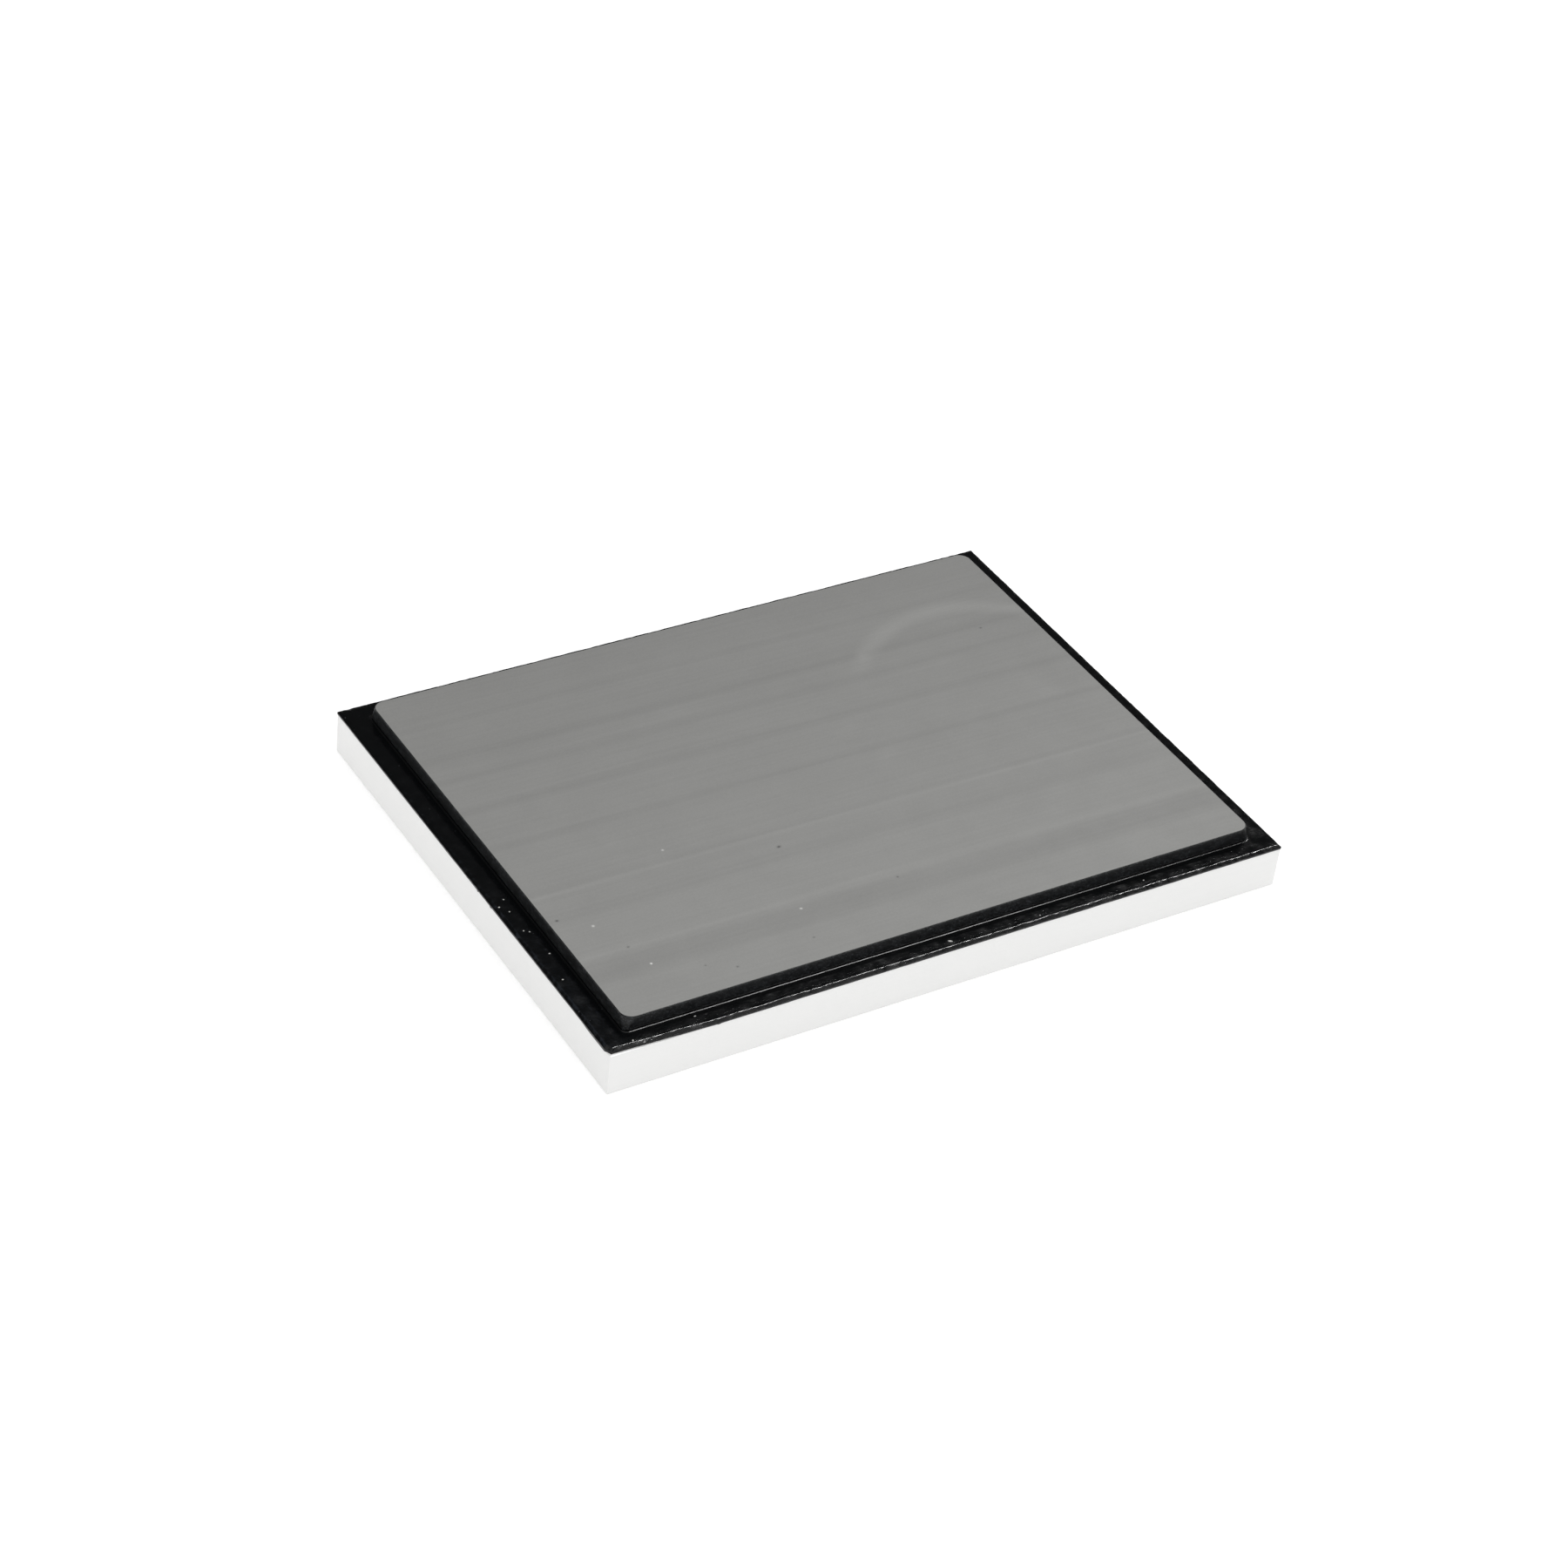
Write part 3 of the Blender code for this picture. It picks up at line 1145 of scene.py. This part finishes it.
@dataclass
class Slab:
    """The whole slab: it takes the plan sizes from the frame and builds its six pieces in order."""

    block_length: float = field(init=False)
    block_width: float = field(init=False)
    plate_length: float = field(init=False)
    plate_width: float = field(init=False)

    def __post_init__(self) -> None:
        """Reads the plan sizes from the CAD nodes."""
        self.block_length, self.block_width = self.plan("base_board")
        self.plate_length, self.plate_width = self.plan("granite_plate")

    @staticmethod
    def plan(node: str) -> tuple[float, float]:
        """Length and width of a CAD node."""
        low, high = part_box(node)
        return high.x - low.x, high.y - low.y

    def layers(self) -> list[Layer]:
        """The six layers from the bench up.

        Returns:
            The layers, not yet built.
        """
        block = {"length": self.block_length, "width": self.block_width}
        shorter, narrower = PLATE_TRIM
        plate = {
            "length": self.plate_length - shorter,
            "width": self.plate_width - narrower,
            "shift": (shorter / 2, narrower / 2),
        }
        plate_joint = {"bottom": LEDGE, "top": PLATE_FOOT, "setback": 1.6 * MM}
        board = SawnPlasticBoard("sawn_pvc_board", "#e1e1e0", 0.45, 1.52)
        glue = AdhesiveFilm("rolled_acrylic_film", "#3b3a36", 0.6, 1.47)
        resin = PouredResin("poured_black_epoxy", "#060708", 0.09, 1.52, sheen=0.24, flecks=LEDGE_FLECKS)
        sealant = PouredResin(
            "tooled_black_silicone",
            "#070708",
            0.12,
            1.45,
            sheen=0.45,
            ripple_pitch=0.4 * MM,
            ripple_depth=0.014 * MM,
        )
        stone = PolishedGranite("polished_black_granite", "#0f1011", 0.36, 1.55, sheen=0.33)
        ground = GroundGranite(
            "ground_black_granite",
            "#80807e",
            0.60,
            1.55,
            sheen=0.08,
            # The bands also carry painted light that makes the face paler towards the front.
            bands=GRINDING_BANDS_AND_PAINTED_LIGHT,
            marks=FACE_MARKS + RING_MARKS,
        )
        return [
            BaseBoard("base_board", "white_board", board, **block),
            Film("bed_adhesive_film", "adhesive", glue, **block),
            ResinBed("black_bed", "black_bed", resin, **block, faults=EDGE_FAULTS, nibs=LEDGE_NIBS),
            Film("plate_adhesive_film", "adhesive", glue, **plate, **plate_joint),
            GranitePlate("granite_plate", "granite", stone, **plate, face_finish=ground),
            FootBead("foot_bead", "sealant", sealant, **plate),
        ]


# The plate was cut a little smaller than its CAD node, and lies at the back and the right of that place.
PLATE_TRIM = (0.7 * MM, 0.9 * MM)

# Grinding bands: y across the face, and how much paler the stone is there. The stops also carry painted
# light:
# the whole face is painted paler towards the front, from one y over a length.
BAND_CONTRAST = 3
# Strength of the painted light that makes the face paler towards the front.
FRONT_PAINTED_LIGHT = 0.06
FRONT_FROM = 60
FRONT_LENGTH = 90
GRINDING_BANDS_AND_PAINTED_LIGHT = tuple(
    (y * MM, BAND_CONTRAST * gain + FRONT_PAINTED_LIGHT * min(max((FRONT_FROM - y) / FRONT_LENGTH, 0), 1))
    for y, gain in (
        (-104, 0.015), (-88, 0.015), (-84, -0.015), (-80, -0.02), (-75, -0.01), (-71, 0.03), (-68, 0.012),
        (-52, 0.012), (-46, -0.012), (-40, 0.0), (-34, 0.0), (-32.5, 0.022), (-30.5, -0.015), (-27, 0.0),
        (-2, 0.0), (1, -0.022), (4, 0.0), (22, 0.0), (25.5, -0.022), (29, 0.0), (42, 0.0), (45.7, -0.02),
        (49, 0.0), (56, -0.004), (59.4, -0.028), (63, -0.008), (79, -0.004), (82, -0.018), (85, -0.008),
        (104, -0.02),
    )
)

# Smudges are centimetres wide and pale. Specks are a millimetre or two: dark grains, and white chips.
FACE_MARKS = tuple(
    Mark(x * MM, y * MM, long * MM, wide * MM, gain, turn)
    for x, y, long, wide, gain, turn in (
        (29, 17, 14, 8, 0.06, 20), (33, -6, 24, 8, 0.05, 40), (90, 41, 16, 9, 0.06, 0),
        (120, 6, 18, 12, 0.05, 60), (-96, -12, 18, 10, 0.05, 10), (-29, 53, 16, 8, 0.05, 0),
        (60, 57, 7, 4, 0.08, 70),
        (-37.8, -39.8, 1.7, 1.2, -1.0, 10), (-137.8, -45, 1.4, 1.1, -0.9, 0),
        (-120.7, -69.3, 1.2, 1.0, -0.7, 0), (-88.9, -95.9, 1.1, 1.0, -0.7, 0),
        (-99.5, -90.4, 1.0, 0.9, -0.5, 0), (-5, -74.5, 1.1, 1.0, -0.6, 0),
        (117.8, 55, 1.2, 1.0, -0.6, 0), (-53.8, -92.8, 1.1, 0.9, -0.6, 0),
        (-126.8, -53.2, 1.1, 1.1, 1.8, 0), (-117.5, -81.2, 0.9, 0.9, 3.0, 0),
        (-49.4, -76, 1.1, 1.0, 1.8, 0), (-80.3, -23.5, 1.1, 1.0, 1.4, 0),
    )
)

# The foot of a can or a round tool left one pale arc on the right of the face.
RING_MARKS = (RingMark(103 * MM, 14 * MM, 59.4 * MM, 7 * MM, 0.14),)

# Where resin ran over the board's edge: two beads and a long run on the left, a drip at the front, and
# one small bead each at the back and on the right.
EDGE_FAULTS = (
    Fault(Side.LEFT, -9.2 * MM, 0.9 * MM, 0.30 * MM, 0.10 * MM),
    Fault(Side.LEFT, -19.9 * MM, 1.4 * MM, 0.38 * MM, 0.10 * MM),
    Fault(Side.LEFT, -106 * MM, 22 * MM, 0.40 * MM, 0.04 * MM),
    Fault(Side.FRONT, -106.7 * MM, 1.6 * MM, 0.18 * MM, 0.05 * MM),
    Fault(Side.BACK, 61 * MM, 1.2 * MM, 0.25 * MM, 0.08 * MM),
    Fault(Side.RIGHT, 34 * MM, 1.5 * MM, 0.22 * MM, 0.06 * MM),
)

# Pale lint and dust caught in the resin: a short fibre at the front, specks at the front and on the left.
LEDGE_FLECKS = tuple(
    Mark(x * MM, y * MM, long * MM, wide * MM, gain, turn, LEDGE)
    for x, y, long, wide, gain, turn in (
        (-2.7, -110, 1.2, 0.6, 4, -35), (-140.9, -110.5, 0.7, 0.4, 2.5, 60), (-113.5, -108, 0.8, 0.4, 2, 0),
        (38, -111, 0.5, 0.4, 2, 0), (88, -109.5, 0.5, 0.4, 2, 20), (-146.5, -19.2, 0.5, 0.5, 1.5, 0),
        (-150.2, -22.7, 0.6, 0.5, 2, 0), (-147.8, -26.6, 0.5, 0.5, 1.5, 0), (-148.2, -38.8, 0.5, 0.5, 1.5, 0),
        (-146.4, -40.2, 0.5, 0.5, 1.5, 0), (-145.5, -54.5, 0.6, 0.5, 2, 0), (-148.1, -69.8, 0.6, 0.5, 2, 0),
    )
)

# Grains of dust under most of the specks, and four more on the right and at the back.
LEDGE_NIBS = (
    Nib(Side.LEFT, -19.2 * MM, 5.9 * MM), Nib(Side.LEFT, -22.7 * MM, 2.6 * MM),
    Nib(Side.LEFT, -26.6 * MM, 4.6 * MM), Nib(Side.LEFT, -38.8 * MM, 4.2 * MM),
    Nib(Side.LEFT, -40.2 * MM, 6.0 * MM), Nib(Side.LEFT, -54.5 * MM, 6.9 * MM),
    Nib(Side.LEFT, -69.8 * MM, 4.3 * MM), Nib(Side.FRONT, -140.9 * MM, 3.8 * MM),
    Nib(Side.FRONT, -113.5 * MM, 6.3 * MM), Nib(Side.FRONT, -2.7 * MM, 4.3 * MM),
    Nib(Side.RIGHT, -60 * MM, 5.0 * MM), Nib(Side.RIGHT, 18 * MM, 3.4 * MM),
    Nib(Side.BACK, -80 * MM, 4.0 * MM), Nib(Side.BACK, 22 * MM, 5.5 * MM),
)

VIEW = Camera(
    target=(-5.55 * MM, 8.06 * MM, 12.7 * MM),
    distance=1.5375,
    azimuth=-34.92,
    elevation=36.73,
    roll=6.98,
    lens=88.09,
)
LIGHTS = (
    SoftSun("front_fill", -15, 35, 0.30),
    Panel("back_strip", (0.42, 0.59, 1.34), (1.16, 0.50, 1.16), 0.15, 110.0),
    Panel("front_strip", (0.42, -0.66, 1.29), (0.88, -0.62, 1.19), 0.30, 16.0),
    Panel("cool_panel", (-0.09, 1.03, 1.28), (0.49, 0.92, 1.28), 0.30, 0.70, "#c8d6ee"),
)


def main() -> None:
    logging.basicConfig(level=logging.INFO, format="%(name)s: %(message)s")
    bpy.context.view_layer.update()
    VIEW.build()
    Studio().build()
    for light in LIGHTS:
        light.build()
    for layer in Slab().layers():
        piece = layer.build()
        LOG.info("%s: %d faces, for %s", piece.name, len(piece.data.polygons), layer.node)


if __name__ == "__main__":
    main()
